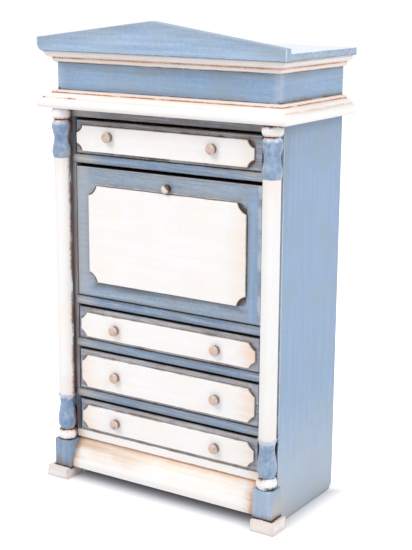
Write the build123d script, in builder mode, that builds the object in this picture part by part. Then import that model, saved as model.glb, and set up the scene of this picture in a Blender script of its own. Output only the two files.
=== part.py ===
"""Fall-front secretary desk, a painted doll's-house miniature, in millimetres.

It stands on the XY plane, faces -Y and has its origin under its middle. A case of side panels and
housed boards carries four drawers and a hinged writing flap. A column stands at each front corner,
and a cornice, a frieze, a crown moulding and a pediment finish the top.
"""
import os
from math import hypot, sqrt

from build123d import *

# Case
depth = 44.4  # from the foot fronts to the back
case_width = 81.9
side_thickness = 6.1
board = 2.85  # case top, dividers, desk floor and bottom board
back_thickness = 2.0
housing = 1.35  # how far boards and back are let into the side panels
face_setback = 6.8  # rails and drawer fronts behind the foot fronts
stile_depth = 1.4  # front lip of the side panels, beside the columns
heel_chamfer = 2.0  # rear lower corner of the side panels
edge = 0.3  # worn arris on painted edges

# Openings between the boards, from the bottom up
lower_opening = 11.7
middle_opening = 14.6
upper_opening = 11.7
flap_opening = 43.95
top_opening = 11.8

# Feet, plinth blocks, columns and apron
foot_height = 3.75
foot_width = 8.4
foot_overhang = 1.9  # outside the plinth block
foot_taper = 0.3  # each side of a foot draws in by this at its top
block_height = 9.35
block_width = 6.7
block_setback = 2.1  # behind the foot front
plinth_gap = 0.55  # plinth block top to bottom board
shaft_radius = 2.72
ring_step = 0.53  # rings stand proud of the shaft
ring_height = 3.6
vase_height = 12.3
vase_bulge = 0.42
vase_waist = 0.28  # inside the shaft's surface
neck_inset = 0.5  # necks beside the rings, inside the shaft's surface
head_vase_shares = (0.15, 0.5, 0.83)  # bulge, waist and bulge, down from the top ring
foot_vase_shares = (0, 0.35, 0.75)  # rim, waist and bulge, down from the shaft
column_gap = 0.1  # rings to the side panel
apron_clearance = 4.05  # open space under the apron
apron_nose = 1.9  # height of the apron's upright nose
apron_nose_setback = 3.15  # behind the foot front
apron_neck_setback = 7.7
apron_quirk = 0.4  # upright step under the bottom board
apron_hollow = 0.45  # depth of the cove
apron_bearing = 3.0  # how far the apron reaches back between the side panels

# Cornice, frieze, crown moulding, top board and pediment
frieze_inset = 0.3  # inside the case sides
frieze_thickness = 3.0
frieze_height = 12.2
cornice_height = 5.6
cornice_projection = 5.2
cornice_setback = 0.5  # nose behind the foot fronts
nose_height = 2.95
nose_undercut = 0.8  # inside the nose, at the underside
nose_shoulder = 1.1  # inside the nose, at its top
cornice_fillet = 0.5  # small slope between nose and cove
cornice_fillet_rise = 0.3
cornice_hollow = 0.35  # depth of the cove
cap_projection = 1.5
cap_height = 0.95
crown_height = 3.5
crown_projection = 3.2
crown_lip = 0.3  # upright edge under the top board
crown_hollow = 0.3
bead_foot = 0.55
bead_shoulder = 1.15
bead_height = 1.45
bead_swell = 0.35
quirk_width = 0.7  # step from the bead out to the cove
quirk_rise = 0.15
top_thickness = 2.3
top_overhang = 4.35
pediment_thickness = 2.6
pediment_overhang = 4.5
pediment_left_reach = 0.35  # past the top board, at the left end
pediment_left_height = 4.25
pediment_right_height = 3.7
pediment_height = 10.17  # to the point where the slopes would meet
apex_shift = -1.6  # cut by hand, a little left of the middle
apex_round = 8.0
pediment_heel = 2.2  # rounded lower left corner

# Drawers
drawer_gap = 0.35  # each side
drawer_lift = 0.25  # dark line under a drawer front
drawer_head = 0.85  # gap above a drawer front
drawer_run = 0.1  # running clearance under the drawer sides
drawer_rear_gap = 1.0
front_thickness = 3.0
wall = 1.6  # drawer sides and back
wall_drop = 1.5  # drawer sides below the top of the front
drawer_bottom = 1.2
bottom_lift = 0.8  # drawer bottom above the lower edge of the sides
groove = 0.7

# Applied panels and knobs
panel_thickness = 0.7
panel_round = 0.25
panel_side_margin = 1.1
panel_foot_margin = 0.9
panel_head_margin = 1.65
drawer_scoop = 2.4  # reach of a scooped corner along each edge
drawer_scoop_offset = 3.0  # centre of a scoop outside the corner
knob_spread = 38.7  # between the two knobs of a drawer
knob_drop = 0.15  # below the middle of the panel
knob_radius = 1.65
knob_dome = 0.9
knob_side = 1.3  # height of the flared side
knob_flare = 0.15  # rim outside the foot of the flared side
knob_shank = 2.0  # length of the peg glued into the front
shank_radius = 0.65

# Top drawer, whose panel and knobs sit off the middle
top_panel_margin = 1.45
top_panel_shift = -0.95
top_scoop_offset = 0.8
top_knob_shift = -1.8
top_knob_drop = -0.75
top_knob_tilt = 0.25  # left knob up and right knob down

# Writing flap and its pins
flap_gap = 0.35
flap_lift = 0.2
flap_head = 1.1
flap_thickness = 3.3
flap_pivot = 0.9  # pins behind the flap's face and above its lower edge
flap_side_margin = 4.9
flap_foot_margin = 5.3
flap_head_margin = 5.8
flap_scoop = 3.3
flap_scoop_offset = 1.2
flap_knob_radius = 1.45
flap_knob_rise = 0.3  # knob above the panel
flap_knob_shift = 0.9  # right of the middle
pin_radius = 0.4
pin_clearance = 0.05
pin_in_side = 1.1
pin_in_flap = 4.0

# Pigeonholes
shelf_thickness = 1.5
shelf_depth = 18.0
shelf_rise = 24.0  # above the desk floor
divider_setback = 1.0  # behind the shelf's front edge
divider_count = 3

# Places worked out from the sizes above
front_y = -depth / 2
back_y = depth / 2
face_y = front_y + face_setback
recess_y = face_y + stile_depth
inner_back_y = back_y - back_thickness
case_half = case_width / 2
inner_half = case_half - side_thickness
housed_half = inner_half + housing

block_top = foot_height + block_height
bottom_z = block_top + plinth_gap
lower_z = bottom_z + board
middle_z = lower_z + lower_opening + board
upper_z = middle_z + middle_opening + board
desk_z = upper_z + upper_opening + board
top_z = desk_z + flap_opening + board
case_height = top_z + top_opening + board

ring_radius = shaft_radius + ring_step
column_reach = ring_radius + column_gap
column_y = recess_y - column_reach
column_x = housed_half + sqrt(column_reach**2 - (column_reach - stile_depth) ** 2)
block_inner = column_x - block_width / 2
block_outer = column_x + block_width / 2

frieze_half = case_half - frieze_inset
frieze_y = front_y + cornice_setback + cornice_projection
frieze_z = case_height + cornice_height
roof_z = frieze_z + frieze_height
roof_half = frieze_half + top_overhang
pediment_y = frieze_y - pediment_overhang

front_half = inner_half - drawer_gap
flap_half = inner_half - flap_gap
flap_z = desk_z + flap_lift
pivot_y = face_y + flap_pivot
pivot_z = flap_z + flap_pivot
flap_top = desk_z + flap_opening - flap_head
shelf_z = desk_z + shelf_rise
shelf_y = inner_back_y - shelf_depth

SIDES = (("left", -1), ("right", 1))


def save(piece, name):
    """Label a finished piece and write it."""
    piece.part.label = name
    export_step(piece.part, f"parts/{name}.step")


def slab(x, y, z, mode=Mode.ADD):
    """A block between two values of x, y and z each."""
    low = [min(span) for span in (x, y, z)]
    size = [abs(span[1] - span[0]) for span in (x, y, z)]
    with Locations(tuple(low)):
        Box(*size, align=(Align.MIN, Align.MIN, Align.MIN), mode=mode)


def scooped_panel(middle_x, half_width, z_low, z_high, scoop, offset, knob_places):
    """A thin panel with scooped corners on the face of a board, bored for its knobs."""
    height = z_high - z_low
    half_way = (z_low + z_high) / 2
    middle = Plane(origin=(middle_x, face_y, half_way), x_dir=(1, 0, 0), z_dir=(0, -1, 0))
    with BuildPart() as panel:
        with BuildSketch(middle):
            Rectangle(2 * half_width, height)
            with GridLocations(2 * (half_width + offset), height + 2 * offset, 2, 2):
                Circle(hypot(scoop + offset, offset), mode=Mode.SUBTRACT)
        extrude(amount=panel_thickness)
        fillet(panel.faces().sort_by(Axis.Y)[0].edges(), panel_round)
        if knob_places:
            with BuildSketch(middle):
                for x, z in knob_places:
                    with Locations((x - middle_x, z - half_way)):
                        Circle(shank_radius)
            extrude(amount=panel_thickness, mode=Mode.SUBTRACT)
    return panel


def knobs(places, seat, radius):
    """Turned knobs with flared sides and domed heads, each with a peg glued into the board.

    seat is how far in front of the board's face the knobs stand.
    """
    rim = seat + knob_side
    crown = rim + knob_dome
    with BuildPart() as turned:
        for x, z in places:
            axis_plane = Plane(origin=(x, face_y, z), x_dir=(1, 0, 0), z_dir=(0, 0, 1))
            with BuildSketch(axis_plane):
                with BuildLine():
                    Polyline((0, -crown), (0, knob_shank), (shank_radius, knob_shank), (shank_radius, -seat))
                    Polyline((shank_radius, -seat), (radius - knob_flare, -seat), (radius, -rim))
                    EllipticalCenterArc((0, -rim), radius, knob_dome, start_angle=270, arc_size=90)
                make_face()
            revolve(axis=Axis((x, face_y, z), (0, 1, 0)))
    return turned


def knob_sockets(places):
    """Bore the current board for knob shanks."""
    for x, z in places:
        with Locations(Location((x, face_y, z), (90, 0, 0))):
            Cylinder(
                shank_radius, knob_shank, align=(Align.CENTER, Align.CENTER, Align.MAX), mode=Mode.SUBTRACT
            )


def mitred_strips(name, draw):
    """Front, left and right strip of a moulding round the frieze, mitred at the front corners.

    draw() outlines the section: x outwards from the frieze's face, y up.
    """
    length = depth + 2 * frieze_half
    with BuildPart() as front:
        with BuildSketch(Plane(origin=(0, frieze_y, 0), x_dir=(0, -1, 0), z_dir=(-1, 0, 0))):
            draw()
        extrude(amount=length, both=True)
        for _, side in SIDES:
            mitre = Plane(origin=(side * frieze_half, frieze_y, 0), z_dir=(side, 1, 0))
            split(bisect_by=mitre, keep=Keep.BOTTOM)
    save(front, f"{name}_front")
    for word, side in SIDES:
        with BuildPart() as strip:
            with BuildSketch(
                Plane(origin=(side * frieze_half, back_y, 0), x_dir=(side, 0, 0), z_dir=(0, -side, 0))
            ):
                draw()
            extrude(amount=side * length)
            mitre = Plane(origin=(side * frieze_half, frieze_y, 0), z_dir=(side, 1, 0))
            split(bisect_by=mitre, keep=Keep.TOP)
        save(strip, f"{name}_{word}")


os.makedirs("parts", exist_ok=True)

# Side panels
board_floors = [bottom_z, middle_z - board, upper_z - board, desk_z - board, top_z - board]
board_floors.append(case_height - board)
for word, side in SIDES:
    let_in = (side * inner_half, side * housed_half)
    with BuildPart() as side_panel:
        slab((side * inner_half, side * case_half), (recess_y, back_y), (0, case_height))
        heel = side_panel.edges().filter_by(Axis.X).group_by(Axis.Z)[0].sort_by(Axis.Y)[-1]
        chamfer(heel, heel_chamfer)
        outer_edges = side_panel.edges().filter_by(Axis.Z).sort_by(Axis.X)
        fillet(outer_edges[-2:] if side > 0 else outer_edges[:2], edge)
        slab(let_in, (face_y, recess_y), (bottom_z, case_height))
        for floor_z in board_floors:
            slab(let_in, (face_y, inner_back_y), (floor_z, floor_z + board), Mode.SUBTRACT)
        slab(let_in, (inner_back_y, back_y), (bottom_z, case_height), Mode.SUBTRACT)
        slab(let_in, (shelf_y, inner_back_y), (shelf_z, shelf_z + shelf_thickness), Mode.SUBTRACT)
        with BuildSketch(Plane.YZ.offset(side * inner_half)):
            with Locations((pivot_y, pivot_z)):
                Circle(pin_radius)
        extrude(amount=side * pin_in_side, mode=Mode.SUBTRACT)
    save(side_panel, f"{word}_side_panel")

# Back panel
with BuildPart() as back_panel:
    slab((-housed_half, housed_half), (inner_back_y, back_y), (bottom_z, case_height))
save(back_panel, "back_panel")

# Boards of the case
board_names = ["bottom_board", "lower_divider", "middle_divider", "desk_floor", "upper_divider", "case_top"]
for name, floor_z in zip(board_names, board_floors):
    with BuildPart() as case_board:
        slab((-housed_half, housed_half), (face_y, inner_back_y), (floor_z, floor_z + board))
        fillet(case_board.edges().filter_by(Axis.X).group_by(Axis.Y)[0], edge)
    save(case_board, name)

# Pigeonhole shelf and dividers
with BuildPart() as shelf:
    slab((-housed_half, housed_half), (shelf_y, inner_back_y), (shelf_z, shelf_z + shelf_thickness))
save(shelf, "pigeonhole_shelf")

with BuildPart() as dividers:
    pitch = 2 * inner_half / (divider_count + 1)
    for step in range(divider_count):
        middle_x = (step + 1) * pitch - inner_half
        slab(
            (middle_x - shelf_thickness / 2, middle_x + shelf_thickness / 2),
            (shelf_y + divider_setback, inner_back_y),
            (shelf_z + shelf_thickness, top_z - board),
        )
save(dividers, "pigeonhole_dividers")

# Apron, a cove between the plinth blocks
with BuildPart() as apron:
    with BuildSketch(Plane.YZ.offset(-block_inner)):
        with BuildLine():
            nose_y = front_y + apron_nose_setback
            neck_y = front_y + apron_neck_setback
            rear_y = recess_y + apron_bearing
            nose_top = (nose_y, apron_clearance + apron_nose)
            neck_foot = (neck_y, bottom_z - apron_quirk)
            Polyline(nose_top, (nose_y, apron_clearance), (rear_y, apron_clearance), (rear_y, bottom_z))
            Polyline((rear_y, bottom_z), (neck_y, bottom_z), neck_foot)
            SagittaArc(neck_foot, nose_top, -apron_hollow)
        make_face()
    extrude(amount=2 * block_inner)
    for _, side in SIDES:
        slab((side * inner_half, side * block_inner), (recess_y, rear_y), (0, bottom_z), Mode.SUBTRACT)
save(apron, "apron")

# Feet, plinth blocks and columns
bulge = shaft_radius + vase_bulge
waist = shaft_radius - vase_waist
neck = shaft_radius - neck_inset
ring_top = block_top + ring_height
shaft_foot = ring_top + vase_height
head_foot = case_height - ring_height
shaft_head = head_foot - vase_height


def vase_points(top, shares):
    """Outline points of a vase that hangs down from a height: swollen, waisted and swollen."""
    return [(radius, top - share * vase_height) for radius, share in zip((bulge, waist, bulge), shares)]


for word, side in SIDES:
    foot_outer = block_outer + foot_overhang
    foot_inner = foot_outer - foot_width
    with BuildPart() as foot:
        with BuildSketch(Plane.XZ.offset(-recess_y)):
            Polygon(
                (side * foot_inner, 0),
                (side * foot_outer, 0),
                (side * (foot_outer - foot_taper), foot_height),
                (side * (foot_inner + foot_taper), foot_height),
                align=None,
            )
        extrude(amount=recess_y - front_y)
        fillet(foot.faces().sort_by(Axis.Y)[0].edges(), edge)
    save(foot, f"{word}_foot")

    with BuildPart() as block:
        slab(
            (side * block_inner, side * block_outer),
            (front_y + block_setback, recess_y),
            (foot_height, block_top),
        )
        fillet(block.faces().sort_by(Axis.Y)[0].edges(), edge)
    save(block, f"{word}_plinth_block")

    with BuildPart() as column:
        with BuildSketch(Plane(origin=(side * column_x, column_y, 0), x_dir=(1, 0, 0), z_dir=(0, -1, 0))):
            with BuildLine():
                Polyline((neck, block_top), (0, block_top), (0, case_height), (neck, case_height))
                for ring_foot in (block_top, head_foot):
                    EllipticalCenterArc(
                        (neck, ring_foot + ring_height / 2),
                        ring_radius - neck,
                        ring_height / 2,
                        start_angle=-90,
                        arc_size=180,
                    )
                shaft_end = (shaft_radius, shaft_head)
                Spline((neck, head_foot), *vase_points(head_foot, head_vase_shares), shaft_end)
                Polyline(shaft_end, (shaft_radius, shaft_foot), (bulge, shaft_foot))
                Spline(*vase_points(shaft_foot, foot_vase_shares), (neck, ring_top))
            make_face()
        revolve(axis=Axis((side * column_x, column_y, 0), (0, 0, 1)))
    save(column, f"{word}_column")


# Mouldings and frieze
def cornice_section():
    """Nose, cove and cap, with a ledge inwards that the frieze stands on."""
    nose_top = case_height + nose_height
    cap_z = frieze_z - cap_height
    underside = (cornice_projection - nose_undercut, case_height)
    shoulder = (cornice_projection - nose_shoulder, nose_top)
    cove_foot = (shoulder[0] - cornice_fillet, nose_top + cornice_fillet_rise)
    with BuildLine() as outline:
        Polyline((cap_projection, cap_z), (cap_projection, frieze_z), (-frieze_thickness, frieze_z))
        Polyline((-frieze_thickness, frieze_z), (-frieze_thickness, case_height), underside)
        ThreePointArc(underside, (cornice_projection, case_height + nose_height / 2), shoulder)
        Line(shoulder, cove_foot)
        SagittaArc(cove_foot, (cap_projection, cap_z), -cornice_hollow)
    make_face(outline.edges())


def frieze_section():
    """A plain board behind the frieze's face."""
    with Locations((-frieze_thickness / 2, frieze_z + frieze_height / 2)):
        Rectangle(frieze_thickness, frieze_height)


def crown_section():
    """A bead under a cove, planted on the frieze's face."""
    foot_z = roof_z - crown_height
    shoulder = (bead_shoulder, foot_z + bead_height)
    cove_foot = (shoulder[0] + quirk_width, shoulder[1] + quirk_rise)
    cove_head = (crown_projection, roof_z - crown_lip)
    with BuildLine() as outline:
        Polyline(cove_head, (crown_projection, roof_z), (0, roof_z), (0, foot_z), (bead_foot, foot_z))
        SagittaArc((bead_foot, foot_z), shoulder, -bead_swell)
        Line(shoulder, cove_foot)
        SagittaArc(cove_foot, cove_head, -crown_hollow)
    make_face(outline.edges())


mitred_strips("lower_cornice", cornice_section)
mitred_strips("frieze", frieze_section)
mitred_strips("crown", crown_section)

with BuildPart() as frieze_back:
    inside = frieze_half - frieze_thickness
    slab((-inside, inside), (back_y - frieze_thickness, back_y), (case_height, roof_z))
save(frieze_back, "frieze_back")

# Top board and pediment
with BuildPart() as top_board:
    slab(
        (-roof_half, roof_half),
        (pediment_y + pediment_thickness, back_y),
        (roof_z, roof_z + top_thickness),
    )
    fillet(top_board.edges().filter_by(Axis.Y), edge)
save(top_board, "top_board")

with BuildPart() as pediment:
    with BuildSketch(Plane.XZ.offset(-pediment_y - pediment_thickness)) as gable:
        left_end = -roof_half - pediment_left_reach
        Polygon(
            (left_end, roof_z),
            (roof_half, roof_z),
            (roof_half, roof_z + pediment_right_height),
            (apex_shift, roof_z + pediment_height),
            (left_end, roof_z + pediment_left_height),
            align=None,
        )
        fillet(gable.vertices().sort_by(Axis.Y)[-1], apex_round)
        fillet(gable.vertices().group_by(Axis.Y)[0].sort_by(Axis.X)[0], pediment_heel)
    extrude(amount=pediment_thickness)
    fillet(pediment.faces().sort_by(Axis.Y)[0].edges(), edge)
save(pediment, "pediment_board")

# Hinge pins
with BuildPart() as hinge_pins:
    for _, side in SIDES:
        with BuildSketch(Plane.YZ.offset(side * (inner_half + pin_in_side))):
            with Locations((pivot_y, pivot_z)):
                Circle(pin_radius)
        extrude(amount=-side * (pin_in_side + flap_gap + pin_in_flap))
save(hinge_pins, "hinge_pins")

# Writing flap
flap_panel_top = flap_top - flap_head_margin
flap_knob = [(flap_knob_shift, flap_panel_top + flap_knob_radius + flap_knob_rise)]
with BuildPart() as flap_board:
    with BuildSketch(Plane.YZ.offset(-flap_half)):
        with BuildLine():
            rear_y = face_y + flap_thickness
            Polyline(
                (pivot_y, flap_z), (rear_y, flap_z), (rear_y, flap_top), (face_y, flap_top), (face_y, pivot_z)
            )
            RadiusArc((face_y, pivot_z), (pivot_y, flap_z), -flap_pivot)
        make_face()
    extrude(amount=2 * flap_half)
    face_edges = flap_board.faces().sort_by(Axis.Y)[0].edges()
    fillet(face_edges.filter_by(Axis.X).sort_by(Axis.Z)[-1:], edge)
    for _, side in SIDES:
        with BuildSketch(Plane.YZ.offset(side * flap_half)):
            with Locations((pivot_y, pivot_z)):
                Circle(pin_radius + pin_clearance)
        extrude(amount=-side * (pin_in_flap + pin_clearance), mode=Mode.SUBTRACT)
    knob_sockets(flap_knob)
save(flap_board, "flap_board")
save(
    scooped_panel(
        0,
        flap_half - flap_side_margin,
        flap_z + flap_foot_margin,
        flap_panel_top,
        flap_scoop,
        flap_scoop_offset,
        [],
    ),
    "flap_panel",
)
save(knobs(flap_knob, 0, flap_knob_radius), "flap_knob")

# Drawers: floor, opening, panel margin and shift, then shift, drop and tilt of the knobs
plain_layout = (panel_side_margin, 0, drawer_scoop_offset, 0, knob_drop, 0)
top_layout = (
    top_panel_margin,
    top_panel_shift,
    top_scoop_offset,
    top_knob_shift,
    top_knob_drop,
    top_knob_tilt,
)
drawers = {
    "top_drawer": (top_z, top_opening, *top_layout),
    "upper_drawer": (upper_z, upper_opening, *plain_layout),
    "middle_drawer": (middle_z, middle_opening, *plain_layout),
    "lower_drawer": (lower_z, lower_opening, *plain_layout),
}
for name, (floor_z, opening, *layout) in drawers.items():
    side_margin, panel_shift, scoop_offset, knob_shift, drop, tilt = layout
    front_z = floor_z + drawer_lift
    front_top = floor_z + opening - drawer_head
    wall_z = floor_z + drawer_run
    wall_top = front_top - wall_drop
    bottom_low = wall_z + bottom_lift
    bottom_top = bottom_low + drawer_bottom
    rear_y = face_y + front_thickness
    end_y = inner_back_y - drawer_rear_gap
    inside_half = front_half - wall
    grooved = (-inside_half - groove, inside_half + groove)
    panel_z = (front_z + panel_foot_margin, front_top - panel_head_margin)
    knob_z = sum(panel_z) / 2 - drop
    knob_places = [(knob_shift + side * knob_spread / 2, knob_z - side * tilt) for _, side in SIDES]

    with BuildPart() as drawer_front:
        slab((-front_half, front_half), (face_y, rear_y), (front_z, front_top))
        fillet(drawer_front.faces().sort_by(Axis.Y)[0].edges(), edge)
        slab(grooved, (rear_y - groove, rear_y), (bottom_low, bottom_top), Mode.SUBTRACT)
        knob_sockets(knob_places)
    save(drawer_front, f"{name}_front")

    with BuildPart() as drawer_sides:
        for _, side in SIDES:
            slab((side * inside_half, side * front_half), (rear_y, end_y), (wall_z, wall_top))
        slab(grooved, (rear_y, end_y), (bottom_low, bottom_top), Mode.SUBTRACT)
    save(drawer_sides, f"{name}_sides")

    with BuildPart() as drawer_back:
        slab((-inside_half, inside_half), (end_y - wall, end_y), (bottom_top, wall_top))
    save(drawer_back, f"{name}_back")

    with BuildPart() as drawer_floor:
        slab(grooved, (rear_y - groove, end_y), (bottom_low, bottom_top))
    save(drawer_floor, f"{name}_bottom")

    panel = scooped_panel(
        panel_shift, front_half - side_margin, *panel_z, drawer_scoop, scoop_offset, knob_places
    )
    save(panel, f"{name}_panel")
    save(knobs(knob_places, panel_thickness, knob_radius), f"{name}_knobs")
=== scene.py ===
import math

import bmesh
import bpy
from mathutils import Euler, Matrix, Vector


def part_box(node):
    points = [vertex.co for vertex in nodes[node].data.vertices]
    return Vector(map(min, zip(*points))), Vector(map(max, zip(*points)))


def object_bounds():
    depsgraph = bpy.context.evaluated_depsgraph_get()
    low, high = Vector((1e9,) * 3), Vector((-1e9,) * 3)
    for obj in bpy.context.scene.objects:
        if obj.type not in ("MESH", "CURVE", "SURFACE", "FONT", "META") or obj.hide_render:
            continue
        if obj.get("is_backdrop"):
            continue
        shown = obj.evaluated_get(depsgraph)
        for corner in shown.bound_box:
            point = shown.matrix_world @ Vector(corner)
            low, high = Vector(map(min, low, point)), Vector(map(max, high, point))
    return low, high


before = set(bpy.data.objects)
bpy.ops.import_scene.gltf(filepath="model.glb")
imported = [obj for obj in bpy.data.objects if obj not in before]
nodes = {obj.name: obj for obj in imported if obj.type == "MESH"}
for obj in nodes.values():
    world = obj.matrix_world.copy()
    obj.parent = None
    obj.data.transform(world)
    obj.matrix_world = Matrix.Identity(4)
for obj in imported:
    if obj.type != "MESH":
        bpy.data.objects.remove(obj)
cad_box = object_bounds()
MM = 0.001

# Places on the desk, read from the frame
INNER_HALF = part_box("right_side_panel")[0].x
HOUSED_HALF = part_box("case_top")[1].x
FACE_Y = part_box("case_top")[0].y
CASE_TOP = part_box("case_top")[1].z
FRIEZE_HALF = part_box("frieze_front")[1].x
FRIEZE_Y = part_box("frieze_front")[0].y
FRIEZE_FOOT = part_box("frieze_front")[0].z
CROWN_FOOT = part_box("crown_front")[0].z
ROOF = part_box("frieze_front")[1].z
BOARD_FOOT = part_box("bottom_board")[0].z
BLOCK_LOW, BLOCK_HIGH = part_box("right_plinth_block")
COLUMN_MIDDLE = (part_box("right_column")[0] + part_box("right_column")[1]) / 2
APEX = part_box("pediment_board")[1].z

# Sizes of shapes that the frame's boxes don't give
SHAFT_RADIUS = 2.72 * MM
NECK_RADIUS = 2.22 * MM
RING_HEIGHT = 3.6 * MM
VASE_HEIGHT = 12.3 * MM
SHAFT_MIDDLE = (BLOCK_HIGH.z + CASE_TOP) / 2
SHAFT_HALF = CASE_TOP - SHAFT_MIDDLE - RING_HEIGHT - VASE_HEIGHT
CAP_REACH = 1.5 * MM  # cornice, from the frieze's face
CAP_HEIGHT = 0.95 * MM
COVE_FOOT_REACH = 3.6 * MM
COVE_FOOT_RISE = 3.25 * MM  # above the case top
BEAD_REACH = 1.5 * MM  # crown, from the frieze's face
BEAD_HEIGHT = 1.5 * MM
APEX_X = -1.6 * MM
GABLE_SLOPE = 0.136
PANEL_THICKNESS = 0.7 * MM
TOP_SCOOP = (2.4 * MM, 0.8 * MM)  # reach along the edges, and centre outside the corner
DRAWER_SCOOP = (2.4 * MM, 3.0 * MM)
FLAP_SCOOP = (3.3 * MM, 1.2 * MM)
PAINT_OVERRUN = 2.4 * MM  # paint that ran past the front edges into the case
DRAWER_OVERRUN = 2.0 * MM  # the same on the drawers' fronts


def shown(red, green, blue):
    """A colour as a screen shows it, from 0 to 255, in the linear values that shaders take."""
    parts = [value / 255 for value in (red, green, blue)]
    return (*[part / 12.92 if part <= 0.04045 else ((part + 0.055) / 1.055) ** 2.4 for part in parts], 1.0)


# Paints as deep, pale and greyed shades
PALE_BLUE = (shown(139, 166, 199), shown(172, 194, 218), shown(163, 176, 190))
MID_BLUE = (shown(122, 152, 188), shown(152, 178, 206), shown(142, 159, 176))
SIDE_BLUE = (shown(128, 157, 191), shown(148, 174, 203), shown(142, 159, 176))
STEEL_BLUE = (shown(104, 131, 164), shown(146, 168, 193), shown(140, 149, 159))
VASE_BLUE = (shown(96, 126, 164), shown(143, 167, 197), shown(167, 179, 192))
DULL_BLUE = (shown(110, 135, 168), shown(144, 165, 190), shown(144, 150, 156))
FLAP_BLUE = (shown(120, 141, 166), shown(158, 174, 193), shown(150, 155, 160))
GREY_PAINT = (shown(110, 109, 113), shown(164, 159, 159), shown(138, 129, 126))
# Painted shade: a darker copy of the grey paint, for the case top under the cornice's overhang
SHADED_GREY = (shown(100, 100, 106), shown(150, 146, 150), shown(126, 119, 119))
PALE_GREY = (shown(136, 138, 146), shown(182, 181, 185), shown(166, 160, 156))
WHITE_PAINT = (shown(240, 239, 240), shown(247, 244, 243), shown(244, 237, 230))

# Glazes, wear and stains, and colours of painted shade and of a painted reflection
PALE_WEAR = shown(206, 216, 230)
# Painted reflection of the white surroundings on the top board's upper face
SKY_REFLECTION = shown(226, 236, 247)
GREY_GLAZE = shown(124, 124, 126)
BEIGE = shown(190, 184, 178)
CHALK = shown(202, 206, 210)
OLIVE = shown(118, 108, 94)
SLATE = shown(84, 88, 100)
# Painted shade on the lip between the columns and the drawers
LIP_SHADE = shown(76, 82, 106)
LIP_GREY = shown(150, 142, 141)
# Painted shade for the edges that face the gaps of the front
GAP_SHADE = shown(26, 28, 42)
PALE_SCUFF = shown(186, 188, 192)
MAUVE = shown(142, 132, 136)
BROWN = shown(104, 85, 80)
UMBER = shown(60, 42, 36)
RUST = shown(178, 104, 68)
ORANGE = shown(214, 162, 124)
SAND = shown(226, 196, 166)
PEACH = shown(240, 212, 188)
CREAM = shown(238, 219, 196)
TAN = shown(188, 164, 144)
PINK = shown(232, 214, 207)

# Woods as light and dark shades, and metal
STAINED_WOOD = (shown(150, 108, 74), shown(96, 64, 42))
BARE_WOOD = (shown(226, 198, 160), shown(192, 156, 114))
KNOB_WOOD = (shown(228, 213, 204), shown(198, 177, 165))
KNOB_HEART = shown(214, 183, 168)
PALE_HEART = shown(236, 216, 206)
BRASS = shown(196, 160, 92)
BRASS_SHADE = 0.7  # of the dark streaks

# Roughness, and what the streaks of paint or the grain of wood add to it
PAINT_ROUGHNESS = 0.36
WOOD_ROUGHNESS = 0.5
ROUGHNESS_SWING = 0.2
VASE_ROUGHNESS = 0.22
TOP_ROUGHNESS = 0.2

# How often brush marks repeat along and across a stroke, per metre
STROKE_ALONG = 45
STROKE_ACROSS = 1100
STROKES_X = (STROKE_ALONG, STROKE_ACROSS, STROKE_ACROSS)
STROKES_Y = (STROKE_ACROSS, STROKE_ALONG, STROKE_ACROSS)
STROKES_Z = (STROKE_ACROSS, STROKE_ACROSS, STROKE_ALONG)
DABS = (420, 420, 300)
RIDGE_DEPTH = 0.01 * MM

# Noise's middle value, and how strongly uneven spots show
NOISE_MIDDLE = 0.5
MOTTLE_SHARE = 0.45
CLOUD_SHARE = 0.6
PORE_SHARE = 0.5
LEAST_WIDTH = 0.2  # of a ragged line, as a share of its width
WIDTH_SWING = 1.6
LINE_CORE = 0.3
GAP_SOFTNESS = 0.08
GLAZE_SWING = 1.3  # of a glaze band's reach, as a share of its width
GLAZE_DROP = 0.3
LEAST_GLAZE = 0.5

# Each drawer, with the strength of the stains at the left and right end of its panel
DRAWERS = {
    "top_drawer": (0.1, 0.3),
    "upper_drawer": (0.15, 0.9),
    "middle_drawer": (0.6, 0.7),
    "lower_drawer": (0.7, 0.4),
}

# The Mix node's sockets for the two things it mixes and for the result
MIX_SOCKETS = {"RGBA": (6, 7, 2), "FLOAT": (2, 3, 0)}


# Shader helpers
def fill(tree, node, inputs):
    """Sets a node's inputs, each a value or a socket to link."""
    for name, value in inputs.items():
        if isinstance(value, bpy.types.NodeSocket):
            tree.links.new(value, node.inputs[name])
        else:
            node.inputs[name].default_value = value


def put(tree, kind, inputs=None, **settings):
    """Adds a shader node."""
    node = tree.nodes.new(f"ShaderNode{kind}")
    for name, value in settings.items():
        setattr(node, name, value)
    fill(tree, node, inputs or {})
    return node


def use(tree, group, inputs):
    """Places a shader group and gives its outputs."""
    node = tree.nodes.new("ShaderNodeGroup")
    node.node_tree = group
    fill(tree, node, inputs)
    return node.outputs


def maths(tree, operation, *values):
    return put(tree, "Math", dict(enumerate(values)), operation=operation).outputs[0]


def vector_maths(tree, operation, *values):
    return put(tree, "VectorMath", dict(enumerate(values)), operation=operation).outputs[0]


def blend(tree, factor, under, over, kind="RGBA"):
    """Lays one colour, or one value with the kind FLOAT, over another where the factor is 1."""
    first, second, result = MIX_SOCKETS[kind]
    return put(tree, "Mix", {"Factor": factor, first: under, second: over}, data_type=kind).outputs[result]


def step(tree, value, low, high):
    """0 before low and 1 after high, smooth between. It falls where low is the larger."""
    inputs = {"Value": value, "From Min": low, "From Max": high}
    return put(tree, "MapRange", inputs, interpolation_type="SMOOTHSTEP").outputs[0]


def noise(tree, place, scale, detail=3.0, roughness=0.55):
    inputs = {"Vector": place, "Scale": scale, "Detail": detail, "Roughness": roughness}
    return put(tree, "TexNoise", inputs).outputs[0]


def length(tree, first, second):
    """Length of the diagonal of two distances at right angles."""
    squares = maths(tree, "ADD", maths(tree, "POWER", first, 2.0), maths(tree, "POWER", second, 2.0))
    return maths(tree, "SQRT", squares)


def object_place(tree):
    return put(tree, "TexCoord").outputs["Object"]


def split(tree, vector):
    return put(tree, "SeparateXYZ", {0: vector}).outputs


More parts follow.
